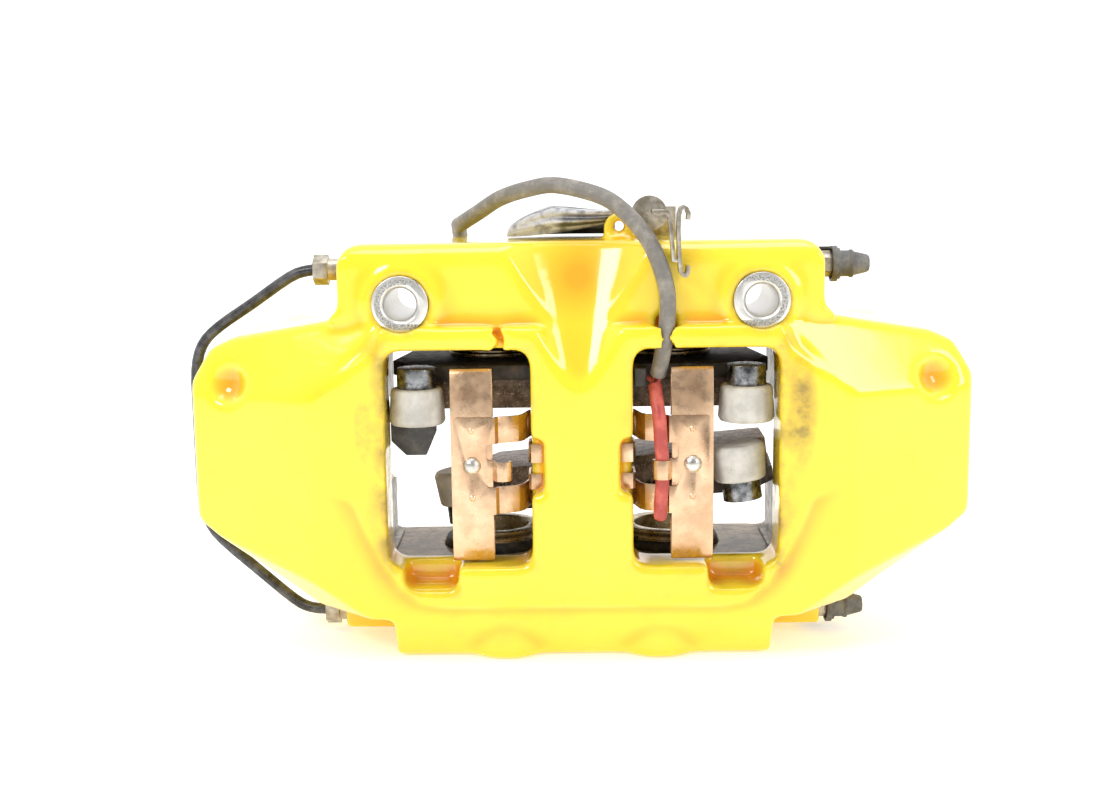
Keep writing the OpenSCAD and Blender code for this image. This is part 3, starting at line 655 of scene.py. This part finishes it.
def tube(name, points, radius, sides=24, radius_at=None):
    """Mesh tube along a route; radius_at(t) scales it from 0 at the start to 1 at the end."""
    path = catmull(points)
    up = Vector((0, 1, 0))
    bm = bmesh.new()
    rings = []
    for i, centre in enumerate(path):
        ahead = (path[min(i + 1, len(path) - 1)] - path[max(i - 1, 0)]).normalized()
        up = (up - up.dot(ahead) * ahead).normalized()
        side = ahead.cross(up)
        r = radius * MM * (radius_at(i / (len(path) - 1)) if radius_at else 1)
        rings.append([bm.verts.new(centre + r * (math.cos(a) * up + math.sin(a) * side))
                      for a in (2 * math.pi * k / sides for k in range(sides))])
    for low, high in zip(rings, rings[1:]):
        for k in range(sides):
            m = (k + 1) % sides
            bm.faces.new((low[k], low[m], high[m], high[k]))
    bm.faces.new(rings[0][::-1])
    bm.faces.new(rings[-1])
    bmesh.ops.recalc_face_normals(bm, faces=bm.faces)
    obj = mesh_object(name, bm)
    shade(obj, 60)
    return obj, path


def sleeve_closing(t):
    """Full radius, then rounded off over the last stretch of the sleeve."""
    if t < SLEEVE_CLOSES:
        return 1
    return math.sqrt(max(0.02, 1 - ((t - SLEEVE_CLOSES) / (1 - SLEEVE_CLOSES)) ** 2))


def lead_pieces():
    sheath = soft_plastic("cable_sheath", (0.3, 0.275, 0.235), (0.17, 0.157, 0.138), 0.5,
                          grain=0.9, bump=0.05)
    lead, path = tube("sensor_lead_sheath", LEAD, LEAD_D / 2)
    finish_piece(lead, "sensor_lead", sheath)
    red = soft_plastic("red_sleeve", (0.62, 0.13, 0.1), (0.42, 0.06, 0.05), 0.42, grain=0.8)
    for name, route in (("sensor_wire_red", WIRE), ("sensor_link_red", LINK)):
        wire, _ = tube(name, route, WIRE_D / 2, sides=12)
        finish_piece(wire, "sensor_wire", red)
    sleeve, _ = tube("sensor_sleeve_shrunk", SLEEVE, SLEEVE_D / 2, radius_at=sleeve_closing)
    finish_piece(sleeve, "sensor_sleeve", red)


def pleat_heights(s, v):
    """Folds of all widths laid over each other, from 0 in the valleys to 1 on the ridges."""
    rng = np.random.default_rng(FILM_SEED)
    pleats = np.zeros_like(s)
    for waves, count in PLEATS:
        for _ in range(count):
            drift, shift = rng.uniform(-0.35, 0.35), rng.uniform(0, math.pi)
            pleats += np.abs(np.sin(waves * (v + drift * s * (1 - s)) + shift)) / (waves * count) ** 0.7
    valley, ridge = np.percentile(pleats, (3, 97))
    return np.clip((pleats - valley) / (ridge - valley), 0, 1)


def film_points(s, v, pleats):
    """An arch that widens from a gathered left tip, with its rim side raised towards the right end."""
    low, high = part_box("port_film")
    opened = np.clip(s / 0.4, 0, 1) ** 0.6
    height = (0.14 + 0.86 * opened) * (1 - 0.25 * np.clip(s - 0.55, 0, 1))
    width = 0.28 + 0.72 * np.clip(s / 0.6, 0, 1) ** 0.8
    reach = 1 - (0.14 + 0.3 * s) * (1 - pleats)
    angle = v * math.pi / 2
    wide, deep, tall = (high.x - low.x) * 0.98, (high.y - low.y) * 0.98, (high.z - low.z) * 0.96
    x = low.x + (high.x - low.x) * 0.01 + s * wide
    y = (low.y + high.y) / 2 + reach * width * np.sin(angle) * deep / 2
    z = reach * height * np.cos(angle) ** 0.6
    z = z / z.max() * tall
    z += 0.5 * tall * s ** 1.6 * np.clip(-np.sin(angle), 0, 1) ** 3 * (1 - z / tall)
    z += low.z + FILM_LIFT * MM
    return x, y, z


def black_film():
    """Glossy black film, with pale painted highlights where "ridge" is 1."""
    material, tree, shader = new_material("black_film")
    n = Nodes(tree)
    black = n.mix(n.noise(8), (0.02, 0.02, 0.024), (0.05, 0.05, 0.056))
    # Painted highlights, broken up in patches, where the film's "ridge" attribute is high
    highlight_breakup = n.ramp(n.noise(4, detail=5), [(0.3, 0.35), (0.55, 1.0)])
    highlight_amount = n.math("MULTIPLY", n.attribute("ridge"), highlight_breakup)
    n.link(n.mix(highlight_amount, black, (0.62, 0.62, 0.64)), shader.inputs["Base Color"])
    n.link(n.bump(n.noise(2.2, detail=5, rough=0.65, distortion=1.2), 0.35), shader.inputs["Normal"])
    shader.inputs["Roughness"].default_value = 0.24
    shader.inputs["Specular IOR Level"].default_value = 0.9
    return material


def film():
    """Crumpled sheet: s runs from its gathered tip to its open end, and v from side to side."""
    columns, rows = FILM_GRID
    s, v = np.meshgrid(np.linspace(0, 1, columns + 1), np.linspace(-1, 1, rows + 1))
    pleats = pleat_heights(s, v)
    bm = bmesh.new()
    grid = [[bm.verts.new(p) for p in zip(*line)] for line in zip(*film_points(s, v, pleats))]
    for near, far in zip(grid, grid[1:]):
        for i in range(columns):
            bm.faces.new((near[i], near[i + 1], far[i + 1], far[i]))
    obj = mesh_object("port_film_crumpled", bm)
    # Painted highlights on the film: pale along the fold ridges, in thin streaks across it and on one
    # broad patch
    highlight_streaks = np.abs(np.sin(23 * (v + 0.12 * s) + 2 * pleats)) ** 5
    highlight_patch = np.clip(3 - 9 * np.abs(s - 0.28 - 0.12 * v), 0, 1) * np.clip(-2 * v, 0, 1)
    store(obj, "ridge", (0.9 * pleats ** 3 + 0.7 * highlight_streaks + 0.8 * highlight_patch).ravel())
    thick = obj.modifiers.new("thickness", "SOLIDIFY")
    thick.thickness = FILM_THICK * MM
    apply_modifiers(obj)
    shade(obj, 25)
    finish_piece(obj, "port_film", black_film())


# ------------------------------------------------------------------ build

add_camera()
body_casting()
frame_pieces()
lead_pieces()
film()
add_studio()
